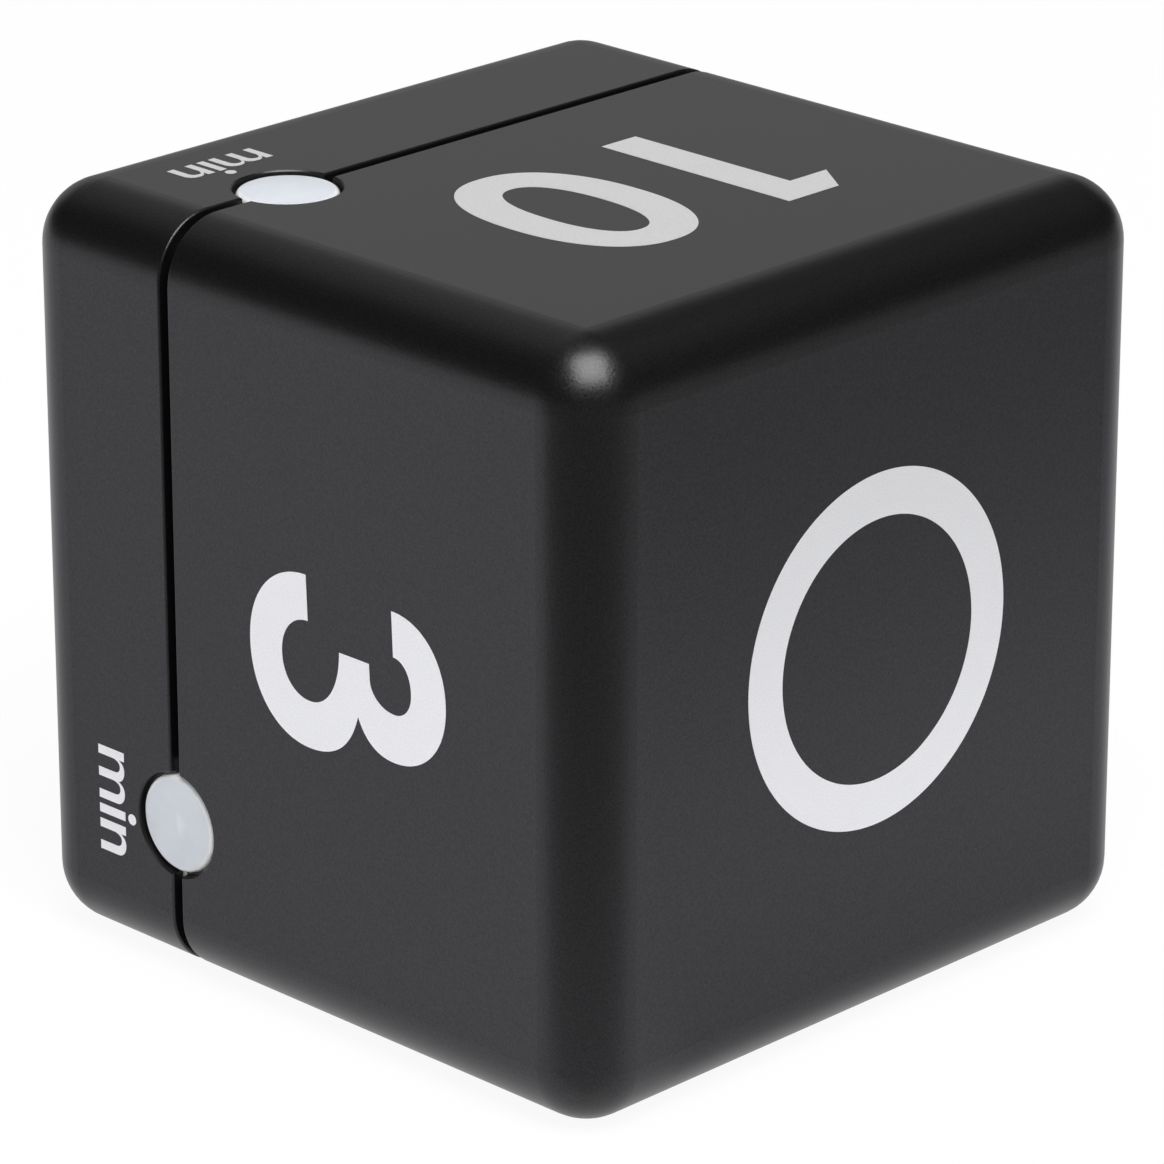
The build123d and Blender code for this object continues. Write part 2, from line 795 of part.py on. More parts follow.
# Knob: a plate under the wall that covers the slot, and a ridged stem in the dish
knob_top_y = half - knob_sink
with BuildPart() as switch_knob:
    with BuildSketch(across(knob_plate_low_y)):
        with Locations((knob_rest_x, switch_z)):
            Rectangle(slot_length + switch_travel + 2 * knob_plate_lap, knob_plate_height)
    extrude(amount=-knob_plate_thickness)
    with BuildSketch(across(knob_plate_low_y)):
        with Locations((knob_rest_x, switch_z)):
            Rectangle(knob_length, knob_height)
    extrude(amount=knob_plate_low_y - knob_top_y + knob_ridge)
    with BuildSketch(across(knob_top_y - knob_ridge)):
        with Locations((knob_rest_x, switch_z)):
            with GridLocations(knob_ridge_pitch, 0, knob_ridge_count, 1):
                Rectangle(knob_ridge_width, knob_height)
    extrude(amount=-knob_ridge, taper=knob_ridge_draft)
    with BuildSketch(across(knob_plate_low_y)):
        with Locations((knob_rest_x, switch_z)):
            Rectangle(actuator_side + 2 * fit_gap, actuator_side + 2 * fit_gap)
    extrude(amount=knob_plate_low_y - actuator_top_y - fit_gap, mode=Mode.SUBTRACT)
keep(switch_knob.part, "switch_knob")

# Main board
with BuildPart() as main_board:
    with BuildSketch(across(main_board_y)):
        with Locations((0, half)):
            Rectangle(2 * main_board_half, 2 * main_board_half)
        with Locations(*post_places):
            Circle(spigot_radius + fit_gap, mode=Mode.SUBTRACT)
        with Locations(*support_places):
            Circle(board_screw_radius + case_hole_play, mode=Mode.SUBTRACT)
    extrude(amount=board_thickness)
    chamfer(main_board.edges().filter_by(Axis.Y).filter_by(GeomType.LINE), main_board_corner)
keep(main_board.part, "main_board")

# Header on the main board, its pins, and the socket under the display board
pin_places = [
    (header_x, header_z + (n - (pin_count - 1) / 2) * pin_pitch) for n in range(pin_count)
]
socket_low_y = main_board_y + header_height + socket_play
pin_top_y = socket_low_y + (display_board_front_y - socket_low_y) * pin_share
with BuildPart() as board_header:
    with BuildSketch(across(main_board_y)):
        with Locations((header_x, header_z)):
            Rectangle(pin_pitch, pin_count * pin_pitch)
        with Locations(*pin_places):
            Rectangle(pin_side, pin_side, mode=Mode.SUBTRACT)
    extrude(amount=-header_height)
keep(board_header.part, "board_header")

with BuildPart() as header_pins:
    with BuildSketch(across(main_board_y)):
        with Locations(*pin_places):
            Rectangle(pin_side, pin_side)
    extrude(amount=main_board_y - pin_top_y)
keep(header_pins.part, "header_pins")

with BuildPart() as board_socket:
    with BuildSketch(across(display_board_front_y)):
        with Locations((header_x, header_z)):
            Rectangle(pin_pitch, pin_count * pin_pitch)
    extrude(amount=display_board_front_y - socket_low_y)
    with BuildSketch(across(socket_low_y)):
        with Locations(*pin_places):
            Rectangle(pin_side + 2 * socket_play, pin_side + 2 * socket_play)
    extrude(amount=socket_low_y - pin_top_y - socket_play, mode=Mode.SUBTRACT)
keep(board_socket.part, "board_socket")

# Buzzer: a hollow can with its sound hole, standing on the front of the main board
with BuildPart() as buzzer:
    with BuildSketch(across(main_board_front_y)):
        with Locations((0, buzzer_z)):
            Circle(buzzer_radius)
    extrude(amount=buzzer_height)
    fillet(buzzer.faces().sort_by(Axis.Y)[0].edges(), buzzer_wall)
    with BuildSketch(across(main_board_front_y - buzzer_wall)):
        with Locations((0, buzzer_z)):
            Circle(buzzer_radius - buzzer_wall)
    extrude(amount=buzzer_height - 2 * buzzer_wall, mode=Mode.SUBTRACT)
    with BuildSketch(across(main_board_front_y - buzzer_height)):
        with Locations((0, buzzer_z)):
            Circle(buzzer_hole_radius)
    extrude(amount=-2 * buzzer_wall, mode=Mode.SUBTRACT)
keep(buzzer.part, "buzzer")

# Control chip under its drop of resin
with BuildPart() as control_chip:
    with BuildSketch(Plane((0, main_board_front_y, chip_z), (1, 0, 0), (0, 0, 1))):
        with BuildLine():
            Polyline((chip_radius, 0), (0, 0), (0, -chip_height))
            RadiusArc(
                (0, -chip_height),
                (chip_radius, 0),
                (chip_radius**2 + chip_height**2) / (2 * chip_height),
            )
        make_face()
    revolve(axis=Axis((0, main_board_front_y, chip_z), (0, 1, 0)))
keep(control_chip.part, "control_chip")

# Quartz crystal lying on the board, and the capacitor that feeds the buzzer
with BuildPart() as crystal:
    with BuildSketch(Plane.YZ.offset(-crystal_length / 2)):
        with Locations((main_board_front_y - crystal_radius, crystal_z)):
            Circle(crystal_radius)
    extrude(amount=crystal_length)
    fillet(crystal.faces().sort_by(Axis.X)[-1].edges(), crystal_round)
keep(crystal.part, "crystal")

with BuildPart() as capacitor:
    with BuildSketch(across(main_board_front_y)):
        with Locations((0, capacitor_z)):
            Circle(capacitor_radius)
    extrude(amount=capacitor_height)
    fillet(capacitor.faces().sort_by(Axis.Y)[0].edges(), capacitor_round)
keep(capacitor.part, "capacitor")

# Tilt switches: closed cans that lean to opposite sides, each with a ball that rolls to its lower end
lean = radians(tilt_angle)
can_y = main_board_front_y - can_radius
for name, side in {"left": -1, "right": 1}.items():
    up = Vector(-side * sin(lean), 0, cos(lean))
    centre = Vector(side * tilt_x, can_y, tilt_z)
    with BuildPart() as can:
        with BuildSketch(Plane(centre, (0, 1, 0), up)):
            Circle(can_radius)
        extrude(amount=can_length / 2, both=True)
        fillet(can.edges().filter_by(GeomType.CIRCLE), can_round)
        with BuildSketch(Plane(centre, (0, 1, 0), up)):
            Circle(can_bore)
        extrude(amount=(2 * ball_radius + ball_travel) / 2 + seat_air, both=True, mode=Mode.SUBTRACT)
    keep(can.part, f"tilt_can_{name}")
    with BuildPart() as ball:
        with Locations(centre - up * (ball_travel / 2)):
            Sphere(ball_radius)
    keep(ball.part, f"tilt_ball_{name}")

# Cells, laid head to tail, with the spring at each one's flat end
heads = {"upper": 1, "lower": -1}
for name, head in heads.items():
    tail_x = -head * (bay_width / 2 - contact_thickness - spring_length)
    cell_axis = Plane((tail_x, cell_y, cell_heights[name]), (0, 0, 1), (head, 0, 0))
    with BuildPart() as cell:
        with BuildSketch(cell_axis):
            Circle(cell_radius)
        extrude(amount=cell_length - nub_height)
        fillet(cell.edges().filter_by(GeomType.CIRCLE), cell_round)
        with BuildSketch(cell_axis.offset(cell_length - nub_height)):
            Circle(nub_radius)
        extrude(amount=nub_height)
    keep(cell.part, f"battery_{name}")

    # spring between the contact and the cell's flat end, drawn pressed
    with BuildPart() as spring:
        foot_x = tail_x - head * (spring_length - spring_wire / 2 - seat_air)
        with BuildLine() as coil:
            Helix(
                spring_pitch,
                spring_length - spring_wire - 2 * seat_air,
                spring_radius,
                center=(foot_x, cell_y, cell_heights[name]),
                direction=(head, 0, 0),
            )
        wire = coil.line
        with BuildSketch(Plane(wire @ 0, z_dir=wire % 0)):
            Circle(spring_wire / 2)
        sweep(path=wire, is_frenet=True)
    keep(spring.part, f"contact_spring_{name}")

# Contacts: one plate links the cells at the left, and two with tails to the main board stand at the right
contact_x = (bay_width - contact_thickness) / 2
with BuildPart() as link_contact:
    with BuildSketch(across(bay_floor_y)):
        with Locations((-contact_x, bay_middle)):
            Rectangle(contact_thickness, contact_width + 2 * cell_radius + cell_gap)
    extrude(amount=-contact_height)
keep(link_contact.part, "link_contact")

for name, contact_name in {"upper": "positive_contact", "lower": "negative_contact"}.items():
    with BuildPart() as contact:
        with BuildSketch(across(bay_floor_y)):
            with Locations((contact_x, cell_heights[name])):
                Rectangle(contact_thickness, contact_width)
        extrude(amount=-contact_height)
        with BuildSketch(across(bay_floor_y)):
            with Locations((contact_x, cell_heights[name])):
                Rectangle(contact_thickness, tail_width)
        extrude(amount=bay_floor_y - main_board_y)
    keep(contact.part, contact_name)

# Battery door: plate with a rolled lower edge, two tabs, and the latch finger
with BuildPart() as battery_door:
    with BuildSketch(Plane.YZ):
        with BuildLine():
            Polyline(
                (door_inside_y, hinge_z),
                (door_inside_y, door_top),
                (half, door_top),
                (half, hinge_z),
            )
            ThreePointArc((half, hinge_z), (hinge_y, door_bottom), (door_inside_y, hinge_z))
        make_face()
    extrude(amount=door_width / 2, both=True)
    upper_corners = battery_door.edges().filter_by(Axis.Y).group_by(Axis.Z)[-1]
    fillet(upper_corners, door_round)
    for x in tab_places:
        with BuildSketch(across(door_inside_y)):
            with Locations((x, (tab_tip_z + hinge_z) / 2)):
                Rectangle(tab_width, hinge_z - tab_tip_z)
        extrude(amount=-tab_thickness)
    with BuildSketch(Plane.YZ):
        with BuildLine():
            bend_y = latch_floor_y + bend_outside
            pad_y = half - latch_pad_sink
            nose_top_y = face_inside_y - run_gap
            Polyline(
                (door_inside_y, leg_low + latch_thickness),
                (door_inside_y, leg_low),
                (bend_y, leg_low),
            )
            ThreePointArc((bend_y, leg_low), (latch_floor_y, leg_turn), (bend_y, leg_high))
            Polyline(
                (bend_y, leg_high),
                (nose_top_y - 2 * latch_nose_height, leg_high),
                (nose_top_y - latch_nose_height / 2, leg_high + latch_nose),
                (nose_top_y, leg_high + latch_nose),
                (nose_top_y, leg_high),
                (pad_y, leg_high),
                (pad_y, leg_high - latch_thickness),
                (bend_y, leg_high - latch_thickness),
            )
            ThreePointArc(
                (bend_y, leg_high - latch_thickness),
                (latch_floor_y + latch_thickness, leg_turn),
                (bend_y, leg_low + latch_thickness),
            )
            Line((bend_y, leg_low + latch_thickness), (door_inside_y, leg_low + latch_thickness))
        make_face()
    extrude(amount=latch_width / 2, both=True)
keep(battery_door.part, "battery_door")
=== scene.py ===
from collections import namedtuple
from math import cos, pi, radians, sin

import bpy
import numpy as np
from mathutils import Matrix, Vector


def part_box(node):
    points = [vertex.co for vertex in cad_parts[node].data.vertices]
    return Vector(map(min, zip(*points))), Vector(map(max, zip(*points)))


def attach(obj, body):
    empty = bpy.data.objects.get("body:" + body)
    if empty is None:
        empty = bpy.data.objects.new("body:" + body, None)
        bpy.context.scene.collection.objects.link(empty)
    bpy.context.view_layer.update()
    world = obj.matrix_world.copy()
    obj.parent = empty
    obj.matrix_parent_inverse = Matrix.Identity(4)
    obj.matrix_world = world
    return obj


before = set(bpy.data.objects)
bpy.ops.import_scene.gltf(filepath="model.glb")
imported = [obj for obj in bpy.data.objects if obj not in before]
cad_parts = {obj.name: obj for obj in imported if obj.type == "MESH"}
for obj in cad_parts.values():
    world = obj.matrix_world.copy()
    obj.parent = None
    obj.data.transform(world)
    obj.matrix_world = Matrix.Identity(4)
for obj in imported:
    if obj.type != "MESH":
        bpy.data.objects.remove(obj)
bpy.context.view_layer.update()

# Sizes of the prints and textures are in millimetres, all else is in metres
mm = 0.001
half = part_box("front_housing")[1].x
middle = Vector((0, 0, half))
lens_low, lens_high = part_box("light_lens_top")
seam_y = (lens_low.y + lens_high.y) / 2
groove_width = 0.9
flange_width = 1.1
window_border = 1.75


# Camera: its turn, height and distance were solved from the cube's outline in the photograph

photo_side = 1164
focal_pixels = 6371.6
sensor_width = 36.0
camera_turn = radians(-45.297)
camera_height = radians(21.001)
camera_roll = radians(-0.032)
camera_distance = 0.50047
camera_right = -0.00011
camera_up = -0.00231


def place_camera():
    """Camera on a sphere round the cube's middle, moved a little across its own view."""
    back = Vector((
        sin(camera_turn) * cos(camera_height), -cos(camera_turn) * cos(camera_height), sin(camera_height)
    ))
    level = Vector((cos(camera_turn), sin(camera_turn), 0))
    upward = back.cross(level)
    right = level * cos(camera_roll) + upward * sin(camera_roll)
    up = upward * cos(camera_roll) - level * sin(camera_roll)
    data = bpy.data.cameras.new("camera")
    data.sensor_width = sensor_width
    data.lens = focal_pixels / photo_side * sensor_width
    data.clip_start = 0.01
    data.clip_end = 20
    camera = bpy.data.objects.new("camera", data)
    turned = Matrix((right, up, back)).transposed().to_4x4()
    place = middle + right * camera_right + up * camera_up + back * camera_distance
    camera.matrix_world = Matrix.Translation(place) @ turned
    bpy.context.scene.collection.objects.link(camera)
    bpy.context.scene.camera = camera


# Materials

def linear(code, alpha=1.0):
    """Linear colour of an sRGB hex code."""
    parts = [int(code[n:n + 2], 16) / 255 for n in (1, 3, 5)]
    return [v / 12.92 if v <= 0.04045 else ((v + 0.055) / 1.055) ** 2.4 for v in parts] + [alpha]


def add(tree, kind, values=(), links=(), **settings):
    """Adds a node: its settings, then the values and the links of its inputs, by name or number."""
    made = tree.nodes.new("ShaderNode" + kind)
    for name, value in settings.items():
        setattr(made, name, value)
    for key, value in dict(values).items():
        made.inputs[key].default_value = value
    for key, socket in dict(links).items():
        tree.links.new(socket, made.inputs[key])
    return made


def new_material(name):
    """Empty material with its surface shader and object coordinates: (material, tree, shader, place)."""
    material = bpy.data.materials.new(name)
    material.use_nodes = True
    tree = material.node_tree
    tree.nodes.clear()
    shader = add(tree, "BsdfPrincipled")
    add(tree, "OutputMaterial", links={"Surface": shader.outputs[0]})
    place = add(tree, "TexCoord").outputs["Object"]
    return material, tree, shader, place


def grain(tree, place, size, detail=2.0):
    """Even noise whose blotches are about `size` millimetres wide."""
    scale = 1 / (size * mm)
    return add(tree, "TexNoise", {"Scale": scale, "Detail": detail}, {"Vector": place}).outputs["Fac"]


def shade(tree, amount, low, high, start=0.3, end=0.7):
    """Colour that goes from one hex code to another as the amount grows."""
    ramp = add(tree, "ValToRGB", links={"Fac": amount})
    ramp.color_ramp.elements[0].position = start
    ramp.color_ramp.elements[0].color = linear(low)
    ramp.color_ramp.elements[1].position = end
    ramp.color_ramp.elements[1].color = linear(high)
    return ramp.outputs["Color"]


def span(tree, amount, low, high):
    """Number that goes from low to high as the amount goes from 0.3 to 0.7."""
    return add(
        tree, "MapRange", {"From Min": 0.3, "From Max": 0.7, "To Min": low, "To Max": high}, {"Value": amount}
    ).outputs["Result"]


def raise_surface(tree, shader, height, depth, normal=None):
    """Bump of the given depth in millimetres, on the smooth surface or on another normal."""
    bump = add(tree, "Bump", {"Strength": 1.0, "Distance": depth * mm}, {"Height": height})
    if normal:
        tree.links.new(normal, bump.inputs["Normal"])
    tree.links.new(bump.outputs["Normal"], shader.inputs["Normal"])


def sound_normal(tree):
    """The smooth normal, or the triangle's own where the pole of a rounded corner has spoilt it."""
    surface = add(tree, "NewGeometry")
    smooth, own = surface.outputs["Normal"], surface.outputs["True Normal"]
    least_likeness = 0.97
    likeness = add(tree, "VectorMath", links={0: smooth, 1: own}, operation="DOT_PRODUCT").outputs["Value"]
    sound = add(tree, "Math", {1: least_likeness}, {0: likeness}, operation="GREATER_THAN").outputs[0]
    return add(tree, "Mix", links={"Factor": sound, 4: own, 5: smooth}, data_type="VECTOR").outputs[1]


def soft_touch_lacquer(name, low, high, roughness):
    """Black soft-touch lacquer on ABS: a sprayed film, velvety, with a very fine even tooth.

    The spray doesn't reach the groove between the housings, where the bare ABS shines.
    """
    material, tree, shader, place = new_material(name)
    bare_roughness, play = 0.22, 0.04
    tooth = grain(tree, place, size=0.25)
    speckle = grain(tree, place, size=0.13)
    tree.links.new(shade(tree, tooth, low, high), shader.inputs["Base Color"])
    tree.links.new(span(tree, speckle, low=0.38, high=0.62), shader.inputs["Specular IOR Level"])
    height = add(tree, "SeparateXYZ", links={"Vector": place}).outputs["Y"]
    groove = add(
        tree, "Math", {1: seam_y, 2: groove_width * mm / 2}, {0: height}, operation="COMPARE"
    ).outputs[0]
    film = span(tree, speckle, roughness - play, roughness + play)
    finish = add(tree, "Mix", {"B": bare_roughness}, {"Factor": groove, "A": film}).outputs["Result"]
    tree.links.new(finish, shader.inputs["Roughness"])
    raise_surface(tree, shader, tooth, depth=0.012, normal=sound_normal(tree))
    shader.inputs["IOR"].default_value = 1.46
    return material


def silver_ink():
    """Silver pad-printing ink: metal flakes in a clear binder, so it shines softly and is speckled."""
    material, tree, shader, place = new_material("silver_pad_ink")
    flakes = grain(tree, place, size=0.11)
    tree.links.new(shade(tree, flakes, "#eaeaea", "#fbfbfb"), shader.inputs["Base Color"])
    tree.links.new(span(tree, flakes, low=0.38, high=0.52), shader.inputs["Roughness"])
    raise_surface(tree, shader, flakes, depth=0.003)
    shader.inputs["Metallic"].default_value = 0.7
    return material


def white_ink():
    """White pad-printing ink, flat and opaque."""
    material, tree, shader, place = new_material("white_pad_ink")
    pores = grain(tree, place, size=0.1)
    tree.links.new(shade(tree, pores, "#d8d8d6", "#ececea"), shader.inputs["Base Color"])
    shader.inputs["Roughness"].default_value = 0.6
    return material


def black_screen_print():
    """Black screen print on the back of clear acrylic: opaque, seen through the sheet."""
    material, tree, shader, place = new_material("black_screen_print")
    mesh_marks = grain(tree, place, size=0.3)
    tree.links.new(shade(tree, mesh_marks, "#08080a", "#0c0c0e"), shader.inputs["Base Color"])
    shader.inputs["Roughness"].default_value = 0.5
    return material


def milky_acrylic(lens, across):
    """Milky diffusing acrylic, moulded with a polished face that light goes into; its paler outer ring is a
    painted highlight.

    The mask `across` is 1 on the two axes of the lens's round face and 0 on its own axis.
    """
    material, tree, shader, place = new_material("milky_acrylic_" + lens)
    low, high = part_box("light_lens_" + lens)
    offset = add(tree, "VectorMath", {1: (low + high) / 2}, {0: place}, operation="SUBTRACT").outputs[0]
    flat = add(tree, "VectorMath", {1: across}, {0: offset}, operation="MULTIPLY").outputs[0]
    radius = add(tree, "VectorMath", links={0: flat}, operation="LENGTH").outputs["Value"]
    face_radius = (high.y - low.y) / 2 - flange_width * mm
    # Painted highlight: the base colour turns paler towards the edge of the lens face, in place of the light
    # that its rounded edge catches
    painted_edge_highlight_start, painted_edge_highlight_full = face_radius - 0.45 * mm, face_radius - 0.15 * mm
    painted_edge_highlight = add(
        tree, "MapRange", {"From Min": painted_edge_highlight_start, "From Max": painted_edge_highlight_full}, {"Value": radius}
    ).outputs["Result"]
    cloud = shade(tree, grain(tree, place, size=2.5), "#d8dde5", "#dee3eb")
    # Colour of the painted highlight at the edge of the lens face
    glow = add(tree, "RGB")
    glow.outputs[0].default_value = linear("#f6f7f8")
    colour = add(tree, "Mix", links={"Factor": painted_edge_highlight, 6: cloud, 7: glow.outputs[0]}, data_type="RGBA")
    tree.links.new(colour.outputs[2], shader.inputs["Base Color"])
    shader.inputs["Roughness"].default_value = 0.12
    shader.inputs["IOR"].default_value = 1.49
    shader.inputs["Subsurface Weight"].default_value = 0.35
    shader.inputs["Subsurface Radius"].default_value = (0.9, 0.95, 1.0)
    shader.inputs["Subsurface Scale"].default_value = 1.2 * mm
    return material


def clear_acrylic():
    """Clear acrylic of the display window: polished in its middle, finely matted over its border."""
    material, tree, shader, place = new_material("clear_acrylic")
    shader.inputs["Base Color"].default_value = linear("#f4f7f7")
    low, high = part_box("display_window")
    reach = (high - low) / 2 - Vector((1, 0, 1)) * window_border * mm
    offset = add(tree, "VectorMath", {1: (low + high) / 2}, {0: place}, operation="SUBTRACT").outputs[0]
    share = add(tree, "VectorMath", {1: reach}, {0: offset}, operation="DIVIDE").outputs[0]
    apart = add(tree, "VectorMath", links={0: share}, operation="ABSOLUTE").outputs[0]
    sides = add(tree, "SeparateXYZ", links={0: apart}).outputs
    farther = add(tree, "Math", links={0: sides["X"], 1: sides["Z"]}, operation="MAXIMUM").outputs[0]
    border = add(tree, "Math", {1: 1.0}, {0: farther}, operation="GREATER_THAN").outputs[0]
    polish = span(tree, grain(tree, place, size=12.0), low=0.01, high=0.03)
    matt_roughness = 0.3
    finish = add(tree, "Mix", {"B": matt_roughness}, {"Factor": border, "A": polish}).outputs["Result"]
    tree.links.new(finish, shader.inputs["Roughness"])
    shader.inputs["IOR"].default_value = 1.49
    shader.inputs["Transmission Weight"].default_value = 1.0
    return material


def display_glass():
    """Reflective liquid crystal glass: grey-green behind its polariser, with a satin glare."""
    material, tree, shader, place = new_material("display_glass")
    clouds = grain(tree, place, size=9.0)
    tree.links.new(shade(tree, clouds, "#a3ab98", "#adb5a2"), shader.inputs["Base Color"])
    shader.inputs["Roughness"].default_value = 0.3
    shader.inputs["IOR"].default_value = 1.5
    return material


def display_ink():
    """Turned liquid crystal: a dark blue-grey figure in the display."""
    material, tree, shader, place = new_material("display_figures")
    clouds = grain(tree, place, size=1.0)
    tree.links.new(shade(tree, clouds, "#0c0f10", "#121617"), shader.inputs["Base Color"])
    shader.inputs["Roughness"].default_value = 0.6
    shader.inputs["Specular IOR Level"].default_value = 0.2
    return material


def moulded(name, low, high, roughness, texture=0.25, depth=0.006):
    """Moulded plastic with a fine eroded texture from its mould."""
    material, tree, shader, place = new_material(name)
    play = 0.04
    tooth = grain(tree, place, texture, detail=3.0)
    tree.links.new(shade(tree, tooth, low, high), shader.inputs["Base Color"])
    tree.links.new(span(tree, tooth, roughness - play, roughness + play), shader.inputs["Roughness"])
    raise_surface(tree, shader, tooth, depth)
    return material


def plated(name, low, high, roughness, direction=(1, 1, 1)):
    """Bright plated or drawn metal, with faint drawing marks along one direction."""
    material, tree, shader, place = new_material(name)
    stretched = add(tree, "Mapping", {"Scale": direction}, {"Vector": place}).outputs["Vector"]
    marks = grain(tree, stretched, size=0.2, detail=4.0)
    smoother, rougher = 0.05, 0.08
    tree.links.new(shade(tree, marks, low, high), shader.inputs["Base Color"])
    tree.links.new(span(tree, marks, roughness - smoother, roughness + rougher), shader.inputs["Roughness"])
    shader.inputs["Metallic"].default_value = 1.0
    return material


def circuit_board():
    """Glass-epoxy board under green solder mask, with copper tracks that show through as lighter lines."""
    material, tree, shader, place = new_material("solder_mask_green")
    swapped = add(tree, "Mapping", {"Rotation": (pi / 2, 0, 0)}, {"Vector": place}).outputs["Vector"]
    between, track = (0, 0, 0, 1), (1, 1, 1, 1)
    run, pitch, track_width = 18.0, 1.0, 0.1
    tracks = add(
        tree, "TexBrick", {
            "Color1": between, "Color2": between, "Mortar": track, "Scale": 1 / mm,
            "Mortar Size": track_width, "Brick Width": run, "Row Height": pitch,
        }, {"Vector": swapped}, offset=0.37, offset_frequency=3, squash=0.45, squash_frequency=5,
    ).outputs["Color"]
    tree.links.new(shade(tree, tracks, "#0f4a25", "#2c7440"), shader.inputs["Base Color"])
    shader.inputs["Roughness"].default_value = 0.28
    raise_surface(tree, shader, tracks, depth=0.03)
    return material


def striped_silicone(pitch=0.4):
    """Connector strip of silicone, with a conducting black layer in every `pitch` millimetres."""
    material, tree, shader, place = new_material("striped_silicone")
    node_factor = 20
    scale = 2 * pi / (node_factor * pitch * mm)
    stripes = add(tree, "TexWave", {"Scale": scale}, {"Vector": place}, bands_direction="X").outputs["Fac"]
    colour = shade(tree, stripes, "#1b1b1c", "#c9cdd0", start=0.45, end=0.55)
    tree.links.new(colour, shader.inputs["Base Color"])
    shader.inputs["Roughness"].default_value = 0.55
    return material


def stepped(tree, amount, steps):
    """Colour that changes in hard steps: each is (start, colour)."""
    node = add(tree, "ValToRGB", links={"Fac": amount})
    ramp = node.color_ramp
    ramp.interpolation = "CONSTANT"
    for start, _ in steps[2:]:
        ramp.elements.new(start)
    for element, (start, colour) in zip(ramp.elements, steps):
        element.position = start
        element.color = colour
    return node.outputs["Color"]


def cell_sleeve(name, head):
    """Printed shrink sleeve of a cell: dark body, copper band at its head, bare steel at both ends."""
    material, tree, shader, place = new_material("cell_sleeve_" + name)
    low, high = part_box("battery_" + name)
    start, end = (low.x, high.x) if head > 0 else (high.x, low.x)
    along = add(
        tree, "MapRange", {"From Min": start, "From Max": end},
        {"Value": add(tree, "SeparateXYZ", links={"Vector": place}).outputs["X"]},
    ).outputs["Result"]
    steel, sleeve, copper = linear("#b9b7b2"), linear("#23282d"), linear("#b06a35")
    starts = (0.0, 0.012, 0.74, 0.955)
    bare, covered = (1, 1, 1, 1), (0, 0, 0, 1)
    colour = stepped(tree, along, list(zip(starts, (steel, sleeve, copper, steel))))
    metal = stepped(tree, along, list(zip(starts, (bare, covered, covered, bare))))
    tree.links.new(colour, shader.inputs["Base Color"])
    tree.links.new(metal, shader.inputs["Metallic"])
    creases = grain(tree, place, size=0.8)
    tree.links.new(span(tree, creases, low=0.24, high=0.32), shader.inputs["Roughness"])
    return material


def finish_nodes():
    """Gives every CAD node its material."""
    lacquer = soft_touch_lacquer("soft_touch_lacquer", "#09090a", "#0d0d0e", 0.35)
    knob = moulded("eroded_black_abs", "#101011", "#1c1c1d", 0.5)
    upright, level = (1, 1, 0), (0, 1, 1)
    lens_masks = {"top": upright, "bottom": upright, "left": level, "right": level}
    white = moulded("white_moulded_abs", "#d9d9d4", "#e8e8e4", 0.45)
    board = circuit_board()
    zinc = plated("zinc_plated_steel", "#aeb2b6", "#cfd3d6", 0.3)
    nickel = plated("nickel_plated_spring_steel", "#b8b2a6", "#d6d0c4", 0.2)
    black = moulded("black_nylon", "#0e0e0f", "#191919", 0.42)
    finishes = {
        "front_housing": lacquer,
        "rear_cover": lacquer,
        "battery_door": lacquer,
        "switch_knob": knob,
        "switch_actuator": knob,
        "display_window": clear_acrylic(),
        "lcd_panel": display_glass(),
        "lcd_frame": white,
        "elastomer_connector": striped_silicone(),
        "display_board": board,
        "main_board": board,
        "slide_switch_body": zinc,
        "case_screws": zinc,
        "main_board_screws": zinc,
        "display_board_screws": zinc,
        "crystal": zinc,
        "board_header": black,
        "board_socket": black,
        "buzzer": black,
        "header_pins": plated("gilt_brass", "#c79a4b", "#dcb468", 0.25),
        "capacitor": plated("drawn_aluminium", "#c4c6c8", "#dcdee0", 0.35, (1, 0.1, 1)),
        "control_chip": moulded("potting_resin", "#0b0b0b", "#131313", 0.2, texture=2.0, depth=0.05),
        "battery_upper": cell_sleeve("upper", 1),
        "battery_lower": cell_sleeve("lower", -1),
    }
    for name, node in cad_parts.items():
        if name.startswith("light_lens"):
            lens = name.removeprefix("light_lens_")
            material = milky_acrylic(lens, lens_masks[lens])
        elif name.startswith("alarm_light"):
            material = white
        elif name.startswith("tilt"):
            material = zinc
        elif name.startswith("contact_spring") or name.endswith("_contact"):
            material = nickel
        else:
            material = finishes[name]
        for slot in node.material_slots:
            slot.material = material


# Prints: each is a thin plate between two edge curves that run side by side, in the frame of its face

class Face:
    """A flat side of the cube, with the directions that its print is read in."""

    def __init__(self, normal, up, centre=middle, lift=half):
        self.normal = Vector(normal)
        self.up = Vector(up)
        self.right = self.up.cross(self.normal)
        self.origin = centre + self.normal * lift

    def points(self, across, high, above):
        """Places in the scene of arrays of places across, up and above the face, in millimetres."""
        axes = [np.array(v)[None, :] for v in (self.right, self.up, self.normal)]
        parts = [np.asarray(a, float)[:, None] * mm for a in (across, high, above)]
        return np.array(self.origin)[None, :] + sum(a * p for a, p in zip(axes, parts))


faces = {
    "ten": Face((0, 0, 1), (0, -1, 0)),
    "three": Face((-1, 0, 0), (0, -1, 0)),
    "five": Face((0, 0, -1), (0, -1, 0)),
    "seven": Face((1, 0, 0), (0, -1, 0)),
    "zero": Face((0, -1, 0), (0, 0, 1)),
    "display": Face((0, 1, 0), (0, 0, 1)),
}

ink_height = 0.02
ink_sink = 0.01


